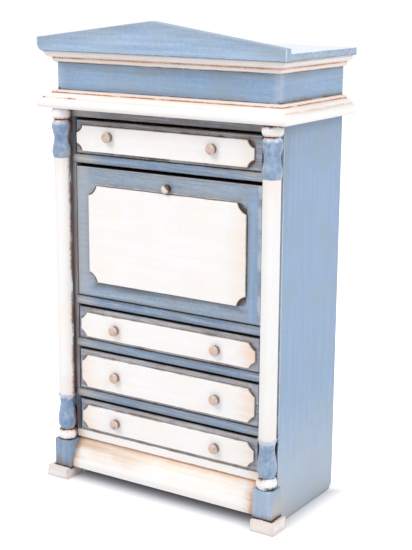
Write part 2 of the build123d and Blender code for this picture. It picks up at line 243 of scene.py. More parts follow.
def seen_directly(tree):
    """1 for rays of the camera, of reflections and through glass, and 0 for rays that only carry light."""
    rays = put(tree, "LightPath").outputs
    seen = maths(tree, "MAXIMUM", rays["Is Camera Ray"], rays["Is Glossy Ray"])
    return maths(tree, "MAXIMUM", seen, rays["Is Transmission Ray"])


def new_group(name, takes, gives):
    """An empty shader group with its named sockets."""
    group = bpy.data.node_groups.new(name, "ShaderNodeTree")
    for socket, kind in takes.items():
        group.interface.new_socket(socket, in_out="INPUT", socket_type=f"NodeSocket{kind}")
    for socket in gives:
        group.interface.new_socket(socket, in_out="OUTPUT", socket_type="NodeSocketFloat")
    given = group.nodes.new("NodeGroupInput").outputs
    result = group.nodes.new("NodeGroupOutput").inputs
    return group, given, result


# Shared effects
def make_brush_marks():
    """Streaks and ridges of a brush drawn along one axis, and clouds of thicker and thinner paint."""
    group, given, result = new_group("brush_marks", {"Stretch": "Vector"}, ("Streaks", "Ridges", "Clouds"))
    place = object_place(group)
    drawn = vector_maths(group, "MULTIPLY", place, given["Stretch"])
    mottle = maths(group, "SUBTRACT", noise(group, place, scale=900.0, detail=2.0), NOISE_MIDDLE)
    bristles = noise(group, drawn, scale=0.6, detail=5.0, roughness=0.65)
    uneven = maths(group, "MULTIPLY_ADD", mottle, MOTTLE_SHARE, bristles)
    ridges = noise(group, drawn, scale=2.3, detail=3.0, roughness=0.7)
    clouds = noise(group, place, scale=75.0, detail=4.0, roughness=0.6)
    group.links.new(step(group, uneven, 0.22, 0.78), result["Streaks"])
    group.links.new(ridges, result["Ridges"])
    group.links.new(step(group, clouds, 0.4, 0.7), result["Clouds"])
    return group


def make_scuffs():
    """Pale and dark scratches of a dry brush drawn along one axis."""
    group, given, result = new_group("scuffs", {"Stretch": "Vector"}, ("Pale", "Dark"))
    drawn = vector_maths(group, "MULTIPLY", object_place(group), given["Stretch"])
    for name, shift, scale in (("Pale", (0.0, 0.0, 0.0), 1.7), ("Dark", (31.0, 17.0, 53.0), 1.4)):
        moved = vector_maths(group, "ADD", drawn, shift)
        scratches = noise(group, moved, scale, detail=3.0, roughness=0.6)
        group.links.new(step(group, scratches, 0.53, 0.63), result[name])
    return group


def make_board_edges():
    """How far a point on a board's surface is from the board's nearest edge."""
    group, given, result = new_group("board_edges", {"Low": "Vector", "High": "Vector"}, ("Distance",))
    place = object_place(group)
    from_low = vector_maths(group, "SUBTRACT", place, given["Low"])
    from_high = vector_maths(group, "SUBTRACT", given["High"], place)
    x, y, z = split(group, vector_maths(group, "MINIMUM", from_low, from_high))
    nearer = maths(group, "MINIMUM", x, y)
    farther = maths(group, "MAXIMUM", x, y)
    second = maths(group, "MAXIMUM", nearer, maths(group, "MINIMUM", farther, z))
    group.links.new(second, result["Distance"])
    return group


def make_ragged_line():
    """A worn or stained line: full at distance 0, uneven in width, and missing in places."""
    takes = {"Distance": "Float", "Width": "Float", "Gaps": "Float"}
    group, given, result = new_group("ragged_line", takes, ("Mask",))
    place = object_place(group)
    coarse = noise(group, place, scale=190.0)
    fine = noise(group, place, scale=1100.0)
    share = maths(group, "MULTIPLY_ADD", coarse, WIDTH_SWING, LEAST_WIDTH)
    reach = maths(group, "MULTIPLY", given["Width"], share)
    shake = maths(group, "MULTIPLY", maths(group, "SUBTRACT", fine, NOISE_MIDDLE), given["Width"])
    distance = maths(group, "ADD", given["Distance"], shake)
    line = step(group, distance, reach, maths(group, "MULTIPLY", reach, LINE_CORE))
    patches = noise(group, place, scale=140.0, detail=4.0, roughness=0.6)
    least = maths(group, "SUBTRACT", given["Gaps"], GAP_SOFTNESS)
    kept = step(group, patches, least, maths(group, "ADD", given["Gaps"], GAP_SOFTNESS))
    group.links.new(maths(group, "MULTIPLY", line, kept), result["Mask"])
    return group


def make_glaze_and_shade_band():
    """Glaze that was wiped off along the strokes, also used for bands of painted shade: it fades with the
    distance and is streaky.
    """
    takes = {"Distance": "Float", "Width": "Float", "Stretch": "Vector"}
    group, given, result = new_group("glaze_and_shade_band", takes, ("Mask",))
    place = object_place(group)
    drawn = vector_maths(group, "MULTIPLY", place, given["Stretch"])
    wiped = noise(group, drawn, scale=0.7, detail=4.0, roughness=0.6)
    patches = noise(group, place, scale=110.0, detail=3.0, roughness=0.6)
    share = maths(group, "ADD", *[maths(group, "MULTIPLY", part, GLAZE_SWING) for part in (wiped, patches)])
    reach = maths(group, "MULTIPLY", given["Width"], maths(group, "SUBTRACT", share, GLAZE_DROP))
    band = step(group, given["Distance"], reach, 0.0)
    worn = maths(group, "MULTIPLY_ADD", step(group, wiped, 0.3, 0.65), 1.0 - LEAST_GLAZE, LEAST_GLAZE)
    group.links.new(maths(group, "MULTIPLY", band, worn), result["Mask"])
    return group


def make_panel_outline():
    """Where a point is from a panel with scooped corners.

    Gives the distance outside the panel, past its ends and above it, and the mask of the scoops.
    """
    takes = ("Middle", "Half", "Low", "High", "Scoop", "Offset")
    gives = ("Distance", "Past end", "Above", "In scoop")
    group, given, result = new_group("panel_outline", dict.fromkeys(takes, "Float"), gives)
    soft = 0.05 * MM
    x, _, z = split(group, object_place(group))
    side = maths(group, "ABSOLUTE", maths(group, "SUBTRACT", x, given["Middle"]))
    side = maths(group, "SUBTRACT", side, given["Half"])
    above = maths(group, "SUBTRACT", z, given["High"])
    upright = maths(group, "MAXIMUM", above, maths(group, "SUBTRACT", given["Low"], z))
    outside = maths(group, "MAXIMUM", side, upright)
    from_centre = [maths(group, "SUBTRACT", part, given["Offset"]) for part in (side, upright)]
    radius = length(group, maths(group, "ADD", given["Scoop"], given["Offset"]), given["Offset"])
    scooped = maths(group, "SUBTRACT", radius, length(group, *from_centre))
    inside = step(group, outside, soft, -soft)
    in_scoop = maths(group, "MULTIPLY", inside, step(group, scooped, -soft, soft))
    results = (maths(group, "MAXIMUM", outside, scooped), side, above, in_scoop)
    for name, value in zip(gives, results):
        group.links.new(value, result[name])
    return group


def make_moulding_line():
    """Distance from a line that runs along a mitred moulding, at a reach from the frieze and a height."""
    takes = {"Reach": "Float", "Height": "Float"}
    group, given, result = new_group("moulding_line", takes, ("Distance",))
    x, y, z = split(group, object_place(group))
    sideways = maths(group, "SUBTRACT", maths(group, "ABSOLUTE", x), FRIEZE_HALF)
    forward = maths(group, "SUBTRACT", FRIEZE_Y, y)
    out = maths(group, "SUBTRACT", maths(group, "MAXIMUM", sideways, forward), given["Reach"])
    up = maths(group, "SUBTRACT", z, given["Height"])
    group.links.new(length(group, out, up), result["Distance"])
    return group


def make_wood_grain():
    """Grain and pores of wood that lies along one axis."""
    group, given, result = new_group("wood_grain", {"Stretch": "Vector"}, ("Grain", "Pores"))
    drawn = vector_maths(group, "MULTIPLY", object_place(group), given["Stretch"])
    bands = noise(group, drawn, scale=1.0, detail=5.0, roughness=0.65)
    pores = noise(group, drawn, scale=5.0, detail=2.0, roughness=0.5)
    group.links.new(step(group, bands, 0.3, 0.7), result["Grain"])
    group.links.new(step(group, pores, 0.55, 0.7), result["Pores"])
    return group


brush_marks = make_brush_marks()
scuffs = make_scuffs()
board_edges = make_board_edges()
ragged_line = make_ragged_line()
glaze_and_shade_band = make_glaze_and_shade_band()
panel_outline = make_panel_outline()
moulding_line = make_moulding_line()
wood_grain = make_wood_grain()


class Finish:
    """One material: a coat of paint or bare wood, and the glazes, stains, wear and painted shade and
    reflection laid over it.
    """

    def __init__(self, name, strokes):
        self.material = bpy.data.materials.new(name)
        self.material.use_nodes = True
        self.tree = self.material.node_tree
        self.tree.nodes.clear()
        self.strokes = strokes
        self.place = object_place(self.tree)
        self.x, self.y, self.z = split(self.tree, self.place)
        self.across = self.maths("ABSOLUTE", self.x)

    def maths(self, operation, *values):
        return maths(self.tree, operation, *values)

    def plus(self, first, second):
        return self.maths("ADD", first, second)

    def minus(self, first, second):
        return self.maths("SUBTRACT", first, second)

    def times(self, first, second):
        return self.maths("MULTIPLY", first, second)

    def step(self, value, low, high):
        return step(self.tree, value, low, high)

    def apart(self, value, level):
        """Distance of a value from a level."""
        return self.maths("ABSOLUTE", self.minus(value, level))

    def wavy(self, value, swing):
        """A value with the slow wobble of a hand that paints a border."""
        wobble = self.minus(noise(self.tree, self.place, scale=260.0, detail=2.0), NOISE_MIDDLE)
        return self.maths("MULTIPLY_ADD", wobble, swing, value)

    def paint(self, shades, strokes=None):
        """Brushed paint: its colour, its roughness and the height of its ridges."""
        deep, pale, greyed = shades
        marks = use(self.tree, brush_marks, {"Stretch": strokes or self.strokes})
        colour = blend(self.tree, marks["Streaks"], deep, pale)
        colour = blend(self.tree, self.times(marks["Clouds"], CLOUD_SHARE), colour, greyed)
        roughness = self.maths("MULTIPLY_ADD", marks["Streaks"], ROUGHNESS_SWING, PAINT_ROUGHNESS)
        return colour, roughness, marks["Ridges"]

    def wood(self, shades):
        """Bare wood: its colour, its roughness and the height of its grain."""
        light, dark = shades
        marks = use(self.tree, wood_grain, {"Stretch": self.strokes})
        colour = blend(self.tree, marks["Grain"], dark, light)
        colour = blend(self.tree, self.times(marks["Pores"], PORE_SHARE), colour, dark)
        roughness = self.maths("MULTIPLY_ADD", marks["Grain"], ROUGHNESS_SWING, WOOD_ROUGHNESS)
        return colour, roughness, marks["Grain"]

    def coat(self, layer):
        """Starts the finish with a layer of paint or wood."""
        self.colour, self.roughness, self.height = layer
        return self

    def cover(self, mask, layer):
        """Covers part of the finish with another layer."""
        colour, roughness, height = layer
        self.colour = blend(self.tree, mask, self.colour, colour)
        self.roughness = blend(self.tree, mask, self.roughness, roughness, kind="FLOAT")
        self.height = blend(self.tree, mask, self.height, height, kind="FLOAT")

    def lay(self, mask, tint, strength=1.0):
        """Tints the finish where the mask is 1."""
        self.colour = blend(self.tree, self.times(mask, strength), self.colour, tint)

    def line(self, distance, tint, width, gaps, strength=1.0):
        """A ragged line of stain or wear, also used for painted shade. Its width is in millimetres, and more
        gaps leave less of it.
        """
        inputs = {"Distance": distance, "Width": width * MM, "Gaps": gaps}
        self.lay(use(self.tree, ragged_line, inputs)["Mask"], tint, strength)

    def band(self, distance, tint, width, strength=1.0):
        """A soft band of glaze, also used for painted shade. Its width is in millimetres."""
        inputs = {"Distance": distance, "Width": width * MM, "Stretch": self.strokes}
        self.lay(use(self.tree, glaze_and_shade_band, inputs)["Mask"], tint, strength)

    def scuff(self, pale, dark, strength):
        """Scratches of two tints."""
        marks = use(self.tree, scuffs, {"Stretch": self.strokes})
        self.lay(marks["Pale"], pale, strength)
        self.lay(marks["Dark"], dark, strength)

    def edges(self, node):
        low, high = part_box(node)
        return use(self.tree, board_edges, {"Low": low, "High": high})["Distance"]

    def moulding(self, reach, height):
        return use(self.tree, moulding_line, {"Reach": reach, "Height": height})["Distance"]

    def outline(self, panel, scoop):
        low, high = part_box(panel)
        middle = (low.x + high.x) / 2
        sizes = {"Middle": middle, "Half": high.x - middle, "Low": low.z, "High": high.z}
        sizes.update(zip(("Scoop", "Offset"), scoop))
        return use(self.tree, panel_outline, sizes)

    def on_right(self):
        """Mask of the desk's right half."""
        return self.step(self.x, -MM, MM)

    def paint_gap_shade(self):
        """Painted shade: an ink-dark colour on the edges that face the gaps of the front, where shade falls.
        """
        self.lay(self.step(self.y, FACE_Y + 0.3 * MM, FACE_Y + 0.7 * MM), GAP_SHADE, strength=0.92)

    def behind_front(self, overrun):
        """Mask of what lies behind the painted front edges, with a wavy border."""
        start = FACE_Y + overrun
        return self.step(self.wavy(self.y, 1.5 * MM), start, start + 0.5 * MM)

    def give(self, *names):
        """Closes the material and gives it to nodes of the desk."""
        bump = put(self.tree, "Bump", {"Height": self.height, "Distance": RIDGE_DEPTH})
        inputs = {"Base Color": self.colour, "Roughness": self.roughness, "Normal": bump.outputs[0]}
        shader = put(self.tree, "BsdfPrincipled", inputs)
        put(self.tree, "OutputMaterial", {"Surface": shader.outputs[0]})
        for name in names:
            for slot in nodes[name].material_slots:
                slot.material = self.material
        return shader


def painted(name, paint, strokes):
    finish = Finish(name, strokes)
    return finish.coat(finish.paint(paint))


# Case
def finish_side_panel(word):
    node = f"{word}_side_panel"
    finish = painted(node, SIDE_BLUE, STROKES_Z)
    height = finish.wavy(finish.z, 20 * MM)
    finish.lay(finish.step(height, CASE_TOP - 20 * MM, CASE_TOP), GREY_GLAZE, strength=0.25)
    finish.lay(finish.step(height, 45 * MM, 5 * MM), CHALK, strength=0.4)
    finish.line(finish.z, BEIGE, width=14, gaps=0.5, strength=0.3)
    edges = finish.edges(node)
    finish.band(edges, GREY_GLAZE, width=1.4, strength=0.35)
    finish.line(edges, UMBER, width=0.3, gaps=0.5, strength=0.5)

    # Lip between the column and the drawers
    beside_drawers = finish.step(finish.z, BOARD_FOOT - 0.2 * MM, BOARD_FOOT)
    lip = finish.step(finish.across, HOUSED_HALF + 0.4 * MM, HOUSED_HALF + 0.1 * MM)
    lip = finish.times(lip, beside_drawers)
    beside_vase = finish.step(finish.apart(finish.z, SHAFT_MIDDLE), SHAFT_HALF - 2 * MM, SHAFT_HALF + 2 * MM)
    finish.lay(lip, LIP_GREY, strength=0.85)
    # Painted shade: navy on the lip beside the vases, in the recess behind the column
    finish.lay(finish.times(lip, beside_vase), LIP_SHADE, strength=0.9)
    marks = use(finish.tree, scuffs, {"Stretch": STROKES_Z})
    finish.lay(finish.times(lip, marks["Pale"]), PALE_SCUFF, strength=0.4)
    finish.lay(finish.times(lip, marks["Dark"]), BROWN, strength=0.5)
    corner = finish.apart(finish.across, HOUSED_HALF)
    finish.line(corner, RUST, width=0.9, gaps=0.5, strength=finish.times(lip, 0.5))

    # Front edge behind the column, and the outer face next to it
    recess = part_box("right_column")[1].y
    front_edge = finish.step(finish.y, recess + 0.4 * MM, recess + 0.2 * MM)
    front_edge = finish.times(front_edge, finish.minus(1.0, lip))
    finish.lay(front_edge, PALE_WEAR, strength=0.8)
    # Painted shade with brown stain: a dark line in the gap beside the column, deeper beside the vases and
    # only low down
    beside_column = finish.minus(finish.across, COLUMN_MIDDLE.x + 1.0 * MM)
    dark = finish.times(front_edge, finish.maths("MULTIPLY_ADD", beside_vase, 0.5, 0.45))
    low_down = finish.step(finish.z, 80 * MM, 50 * MM)
    finish.line(beside_column, UMBER, width=1.2, gaps=0.4, strength=finish.times(dark, low_down))
    behind_column = finish.minus(finish.y, recess)
    near_top = finish.step(finish.z, CASE_TOP - 45 * MM, CASE_TOP)
    finish.band(behind_column, GREY_GLAZE, width=8, strength=finish.times(near_top, 0.45))
    finish.band(finish.plus(behind_column, finish.z), BEIGE, width=24, strength=0.6)

    # Inner face, below the bottom board and above it
    inner = finish.step(finish.across, BLOCK_LOW.x, BLOCK_LOW.x - 0.1 * MM)
    under_board = finish.step(finish.z, BOARD_FOOT, BOARD_FOOT - 0.2 * MM)
    finish.cover(finish.times(inner, under_board), finish.paint(WHITE_PAINT))
    inside = finish.step(finish.across, INNER_HALF + 0.1 * MM, INNER_HALF + 0.05 * MM)
    inside = finish.times(inside, finish.behind_front(PAINT_OVERRUN))
    finish.cover(finish.times(inside, beside_drawers), finish.wood(STAINED_WOOD))
    finish.give(node)


def finish_rail(node, paint):
    finish = painted(node, paint, STROKES_X)
    ends = finish.step(finish.across, INNER_HALF - 12 * MM, INNER_HALF)
    finish.scuff(PALE_SCUFF, SLATE, strength=0.4)
    finish.scuff(BEIGE, BEIGE, strength=finish.times(ends, 0.9))
    finish.band(finish.plus(finish.x, INNER_HALF), BEIGE, width=14, strength=0.8)
    # Painted shade and grey glaze: a slate band along the rail's edges, next to the gaps
    finish.band(finish.edges(node), SLATE, width=1.5, strength=0.5)
    finish.line(finish.edges(node), UMBER, width=0.25, gaps=0.42, strength=0.8)
    finish.paint_gap_shade()
    finish.cover(finish.behind_front(PAINT_OVERRUN), finish.wood(STAINED_WOOD))
    finish.give(node)


def finish_bottom_board():
    node = "bottom_board"
    finish = painted(node, WHITE_PAINT, STROKES_X)
    finish.band(finish.minus(INNER_HALF, finish.across), PEACH, width=5, strength=0.8)
    finish.line(finish.edges(node), TAN, width=0.3, gaps=0.42, strength=0.8)
    finish.line(finish.apart(finish.z, BOARD_FOOT), RUST, width=0.35, gaps=0.4, strength=0.5)
    finish.cover(finish.behind_front(PAINT_OVERRUN), finish.wood(STAINED_WOOD))
    finish.give(node)


def finish_apron():
    finish = painted("apron", WHITE_PAINT, STROKES_X)
    under_board = finish.minus(BOARD_FOOT, finish.z)
    left_end = finish.plus(finish.x, BLOCK_LOW.x)
    right_end = finish.minus(BLOCK_LOW.x, finish.x)
    finish.band(under_board, CREAM, width=6.0, strength=0.9)
    finish.band(under_board, ORANGE, width=2.2, strength=0.7)
    toward_left = finish.step(finish.x, 4 * MM, -30 * MM)
    finish.band(under_board, SAND, width=9.0, strength=toward_left)
    finish.band(under_board, TAN, width=5.0, strength=finish.times(toward_left, 0.8))
    finish.band(left_end, ORANGE, width=3.6, strength=0.85)
    finish.band(right_end, ORANGE, width=6.0, strength=0.85)
    finish.line(right_end, RUST, width=3.0, gaps=0.36, strength=0.5)
    finish.line(under_board, RUST, width=0.45, gaps=0.42, strength=0.7)
    finish.give("apron")


for word in ("left", "right"):
    finish_side_panel(word)
for rail in ("upper_divider", "desk_floor", "middle_divider", "lower_divider"):
    finish_rail(rail, STEEL_BLUE)
# The case top gets the darker grey as painted shade under the cornice
finish_rail("case_top", SHADED_GREY)
finish_bottom_board()
finish_apron()


# Feet, plinth blocks and columns
def off_block(finish):
    """Distance outside a plinth block, across the floor."""
    half = (BLOCK_HIGH.x - BLOCK_LOW.x) / 2
    aside = finish.minus(finish.apart(finish.across, COLUMN_MIDDLE.x), half)
    return finish.maths("MAXIMUM", aside, finish.minus(BLOCK_LOW.y, finish.y))


def finish_foot(word, stain_width):
    node = f"{word}_foot"
    finish = painted(node, WHITE_PAINT, STROKES_X)
    finish.band(finish.edges(node), PINK, width=2.8, strength=0.9)
    finish.line(finish.edges(node), TAN, width=0.25, gaps=0.5, strength=0.7)
    joint = finish.plus(off_block(finish), finish.minus(BLOCK_LOW.z, finish.z))
    finish.line(joint, RUST, width=stain_width + 0.3, gaps=0.42, strength=0.7)
    finish.line(joint, UMBER, width=stain_width, gaps=0.36, strength=0.9)
    finish.give(node)


def finish_plinth_block(word, paint, stain, stain_height):
    node = f"{word}_plinth_block"
    finish = painted(node, paint, STROKES_Z)
    outer = finish.step(finish.across, BLOCK_HIGH.x - 0.3 * MM, BLOCK_HIGH.x - 0.1 * MM)
    finish.cover(outer, finish.paint(MID_BLUE))
    above_foot = finish.minus(finish.z, BLOCK_LOW.z)
    finish.band(above_foot, BEIGE, width=14, strength=finish.times(outer, 0.9))
    finish.band(above_foot, stain, width=stain_height, strength=0.8)
    finish.line(above_foot, UMBER, width=0.45, gaps=0.38, strength=0.9)
    # Painted shadow of the ring: a dark line on the block's top around the column's neck
    off_axis = (finish.apart(finish.across, COLUMN_MIDDLE.x), finish.apart(finish.y, COLUMN_MIDDLE.y))
    off_neck = finish.minus(length(finish.tree, *off_axis), NECK_RADIUS)
    under_ring = finish.plus(off_neck, finish.minus(BLOCK_HIGH.z, finish.z))
    finish.line(under_ring, UMBER, width=0.9, gaps=0.38, strength=0.9)
    finish.give(node)


def finish_columns():
    finish = painted("columns", WHITE_PAINT, STROKES_Z)
    on_right = finish.on_right()
    level = finish.wavy(finish.z, 0.5 * MM)
    ring_top = BLOCK_HIGH.z + RING_HEIGHT
    shaft_foot = ring_top + VASE_HEIGHT
    ring_foot = CASE_TOP - RING_HEIGHT
    shaft_head = ring_foot - VASE_HEIGHT
    finish.lay(on_right, CHALK, strength=0.15)
    finish.band(finish.apart(finish.z, shaft_foot), PINK, width=14, strength=0.4)
    finish.band(finish.apart(finish.z, shaft_head), PINK, width=8, strength=0.4)

    # Blue vases
    vases = []
    soft = 0.06 * MM
    for low, high in ((ring_top, shaft_foot), (shaft_head, ring_foot)):
        above = finish.step(level, low - soft, low + soft)
        below = finish.step(level, high + soft, high - soft)
        vases.append(finish.times(above, below))
    vase = finish.plus(*vases)
    colour, _, ridges = finish.paint(VASE_BLUE, DABS)
    finish.cover(vase, (colour, VASE_ROUGHNESS, ridges))
    marks = use(finish.tree, scuffs, {"Stretch": DABS})
    finish.lay(finish.times(marks["Pale"], vase), PALE_WEAR, strength=0.2)
    worn = finish.times(vase, 0.8)
    for high in (shaft_foot, ring_foot):
        finish.line(finish.apart(level, high), PALE_WEAR, width=2.0, gaps=0.3, strength=worn)

    # Stains in the joints, and painted shade with stain at the right column's lower ring
    for joint, width in ((ring_top, 0.4), (ring_foot, 0.35), (BLOCK_HIGH.z, 0.8)):
        finish.line(finish.apart(level, joint), ORANGE, width=width + 0.6, gaps=0.48, strength=0.7)
        finish.line(finish.apart(level, joint), UMBER, width=width, gaps=0.44, strength=0.9)
    # Painted shade with brown stain: a wider dark line at the foot of the right column's ring, on its outer
    # side
    outer_right = finish.step(finish.x, COLUMN_MIDDLE.x + 0.5 * MM, COLUMN_MIDDLE.x + 2 * MM)
    finish.line(finish.apart(level, BLOCK_HIGH.z), UMBER, width=1.8, gaps=0.3, strength=outer_right)
    under_cornice = finish.apart(level, CASE_TOP)
    finish.line(under_cornice, RUST, width=1.5, gaps=0.3, strength=finish.times(on_right, 0.7))
    darker_right = finish.maths("MULTIPLY_ADD", on_right, 0.7, 0.25)
    finish.line(under_cornice, UMBER, width=1.1, gaps=0.22, strength=darker_right)

    # Crevice beside the lip, and the hidden rear
    inward = finish.minus(COLUMN_MIDDLE.x, finish.across)
    rearward = finish.minus(finish.y, COLUMN_MIDDLE.y)
    to_lip = Vector((COLUMN_MIDDLE.x - HOUSED_HALF, FACE_Y - COLUMN_MIDDLE.y)).normalized()
    toward = finish.maths("MULTIPLY_ADD", inward, to_lip.x, finish.times(rearward, to_lip.y))
    crevice = finish.minus(length(finish.tree, inward, rearward), toward)
    finish.line(crevice, ORANGE, width=1.2, gaps=0.48, strength=0.6)
    finish.line(crevice, BROWN, width=0.7, gaps=0.4, strength=0.9)
    finish.lay(finish.step(rearward, 0.65 * SHAFT_RADIUS, 0.9 * SHAFT_RADIUS), BROWN, strength=0.7)
    finish.give("left_column", "right_column")


finish_foot("left", stain_width=0.5)
finish_foot("right", stain_width=0.9)
finish_plinth_block("left", DULL_BLUE, OLIVE, stain_height=4.5)
finish_plinth_block("right", PALE_BLUE, GREY_GLAZE, stain_height=2.0)
finish_columns()


# Cornice, frieze, crown and pediment
def finish_cornice(word, strokes):
    node = f"lower_cornice_{word}"
    finish = painted(node, WHITE_PAINT, strokes)
    cap_line = finish.moulding(CAP_REACH, FRIEZE_FOOT - CAP_HEIGHT)
    cove_line = finish.moulding(COVE_FOOT_REACH, CASE_TOP + COVE_FOOT_RISE)
    finish.band(cap_line, PEACH, width=2.2, strength=0.7)
    finish.line(cap_line, RUST, width=0.42, gaps=0.38, strength=0.9)
    finish.band(cove_line, PEACH, width=1.2, strength=0.35)
    if word == "front":
        left_end = finish.step(finish.x, -22 * MM, -34 * MM)
        finish.line(cove_line, RUST, width=0.45, gaps=0.46, strength=left_end)
    else:
        finish.line(cove_line, SAND, width=0.5, gaps=0.4, strength=0.6)
    finish.line(finish.moulding(0.0, FRIEZE_FOOT), RUST, width=0.6, gaps=0.42, strength=0.7)
    finish.line(finish.edges(node), TAN, width=0.3, gaps=0.56, strength=0.6)
    finish.give(node)


def finish_frieze(word, strokes):
    node = f"frieze_{word}"
    finish = painted(node, MID_BLUE, strokes)
    under_crown = finish.apart(finish.z, CROWN_FOOT)
    above_cornice = finish.apart(finish.z, FRIEZE_FOOT)
    finish.band(under_crown, GREY_GLAZE, width=3.6, strength=0.6)
    finish.band(above_cornice, GREY_GLAZE, width=2.6, strength=0.5)
    side = finish.apart(finish.across, FRIEZE_HALF)
    corner = finish.maths("MAXIMUM", side, finish.apart(finish.y, FRIEZE_Y))
    finish.band(corner, PALE_WEAR, width=3.5, strength=0.35)
    if word != "front":
        finish.line(above_cornice, OLIVE, width=1.1, gaps=0.36, strength=0.75)
    finish.line(above_cornice, UMBER, width=0.3, gaps=0.42, strength=0.8)
    finish.line(under_crown, UMBER, width=0.35, gaps=0.42, strength=0.7)
    foot_of_corner = length(finish.tree, corner, above_cornice)
    finish.line(foot_of_corner, UMBER, width=1.4, gaps=0.2, strength=0.9)
    finish.give(node)


def finish_crown(word, strokes):
    node = f"crown_{word}"
    finish = painted(node, WHITE_PAINT, strokes)
    quirk = finish.moulding(BEAD_REACH, CROWN_FOOT + BEAD_HEIGHT)
    finish.band(quirk, PINK, width=4.5, strength=0.7)
    finish.band(quirk, PEACH, width=1.4, strength=0.7)
    finish.line(quirk, RUST, width=0.55, gaps=0.36, strength=0.7)
    finish.line(quirk, UMBER, width=0.3, gaps=0.5, strength=0.6)
    finish.line(finish.apart(finish.z, CROWN_FOOT), TAN, width=0.3, gaps=0.5, strength=0.8)
    finish.give(node)


def finish_top_board():
    node = "top_board"
    finish = painted(node, PALE_BLUE, STROKES_X)
    finish.band(finish.edges(node), GREY_GLAZE, width=2.0, strength=0.35)
    finish.scuff(PALE_WEAR, SLATE, strength=0.35)
    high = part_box(node)[1].z
    # Painted reflection: a near-white sheen on the board's upper face
    finish.lay(finish.step(finish.z, high - 0.2 * MM, high), SKY_REFLECTION, strength=0.8)
    finish.line(finish.minus(finish.z, ROOF), UMBER, width=0.45, gaps=0.35, strength=0.7)
    finish.line(finish.edges(node), PALE_WEAR, width=0.25, gaps=0.5, strength=0.7)
    finish.roughness = TOP_ROUGHNESS
    finish.give(node)


def finish_pediment():
    node = "pediment_board"
    finish = painted(node, PALE_BLUE, STROKES_X)
    drop = finish.times(finish.apart(finish.x, APEX_X), GABLE_SLOPE)
    below_top = finish.minus(finish.minus(APEX, drop), finish.z)
    finish.band(below_top, GREY_GLAZE, width=4.5, strength=0.35)
    finish.line(finish.minus(finish.z, ROOF), UMBER, width=0.35, gaps=0.38, strength=0.7)
    front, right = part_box(node)[0].y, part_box(node)[1].x
    corner = finish.maths("MAXIMUM", finish.apart(finish.x, right), finish.apart(finish.y, front))
    finish.line(corner, PALE_WEAR, width=0.35, gaps=0.4, strength=0.8)
    finish.give(node)


for word, strokes in (("front", STROKES_X), ("left", STROKES_Y), ("right", STROKES_Y)):
    finish_cornice(word, strokes)
    finish_frieze(word, strokes)
    finish_crown(word, strokes)
finish_top_board()
finish_pediment()


# Flap, drawers and their panels
def finish_flap():
    node = "flap_board"
    finish = painted(node, FLAP_BLUE, STROKES_X)
    low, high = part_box(node)
    outline = finish.outline("flap_panel", FLAP_SCOOP)
    off_panel, in_scoop = outline["Distance"], outline["In scoop"]
    stile = finish.step(finish.wavy(outline["Past end"], 1.5 * MM), 0.0, MM)
    finish.cover(stile, finish.paint(MID_BLUE, STROKES_Z))
    on_left = finish.step(finish.x, MM, -MM)
    finish.lay(finish.times(stile, on_left), LIP_GREY, strength=0.35)
    over_panel = finish.step(outline["Above"], 0.0, MM)
    finish.scuff(PALE_SCUFF, GREY_GLAZE, strength=finish.maths("MULTIPLY_ADD", over_panel, 0.2, 0.1))
    finish.band(finish.edges(node), GREY_GLAZE, width=1.6, strength=0.6)
    finish.band(off_panel, GREY_GLAZE, width=1.8, strength=0.6)
    # Painted shadow: a slate band on the flap under the panel's lower edge
    panel_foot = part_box("flap_panel")[0].z
    under_panel = finish.step(finish.z, panel_foot + 2 * MM, panel_foot - MM)
    finish.band(off_panel, SLATE, width=2.8, strength=under_panel)
    finish.line(finish.edges(node), BEIGE, width=0.3, gaps=0.45, strength=0.7)
    along_top = finish.step(outline["Past end"], 0.0, -3 * MM)
    panel_top = finish.maths("ABSOLUTE", outline["Above"])
    finish.line(panel_top, BEIGE, width=0.9, gaps=0.46, strength=along_top)
    finish.band(finish.minus(finish.x, low.x), PALE_SCUFF, width=7, strength=0.7)
    finish.line(off_panel, UMBER, width=0.3, gaps=0.44, strength=0.85)
    finish.line(off_panel, UMBER, width=1.1, gaps=0.36, strength=in_scoop)
    right_scoops = finish.times(in_scoop, finish.on_right())
    finish.line(off_panel, UMBER, width=2.4, gaps=0.3, strength=right_scoops)
    finish.line(finish.minus(high.x, finish.x), PALE_WEAR, width=1.6, gaps=0.5, strength=0.6)
    finish.paint_gap_shade()
    finish.cover(finish.behind_front(PAINT_OVERRUN), finish.wood(STAINED_WOOD))
    finish.give(node)


def finish_drawer_front(drawer, scoop, paint, edge_stain):
    node = f"{drawer}_front"
    finish = painted(node, paint, STROKES_X)
    outline = finish.outline(f"{drawer}_panel", scoop)
    off_panel, in_scoop = outline["Distance"], outline["In scoop"]
    stile = finish.step(finish.wavy(outline["Past end"], 2.0 * MM), -2.0 * MM, 0.0)
    finish.cover(finish.times(stile, 0.4), finish.paint(STEEL_BLUE, STROKES_Z))
    finish.scuff(PALE_SCUFF, BROWN, strength=0.55)
    along_top = finish.step(outline["Past end"], 0.0, -3 * MM)
    panel_top = finish.maths("ABSOLUTE", outline["Above"])
    finish.line(panel_top, BROWN, width=0.5, gaps=0.42, strength=finish.times(along_top, edge_stain))
    finish.line(off_panel, UMBER, width=1.0, gaps=0.58, strength=edge_stain)
    finish.line(off_panel, UMBER, width=0.3, gaps=0.4, strength=in_scoop)
    finish.line(off_panel, UMBER, width=1.6, gaps=0.42, strength=finish.times(in_scoop, edge_stain))
    finish.line(finish.edges(node), UMBER, width=0.25, gaps=0.46, strength=0.7)
    finish.paint_gap_shade()
    finish.cover(finish.behind_front(DRAWER_OVERRUN), finish.wood(BARE_WOOD))
    finish.give(node)


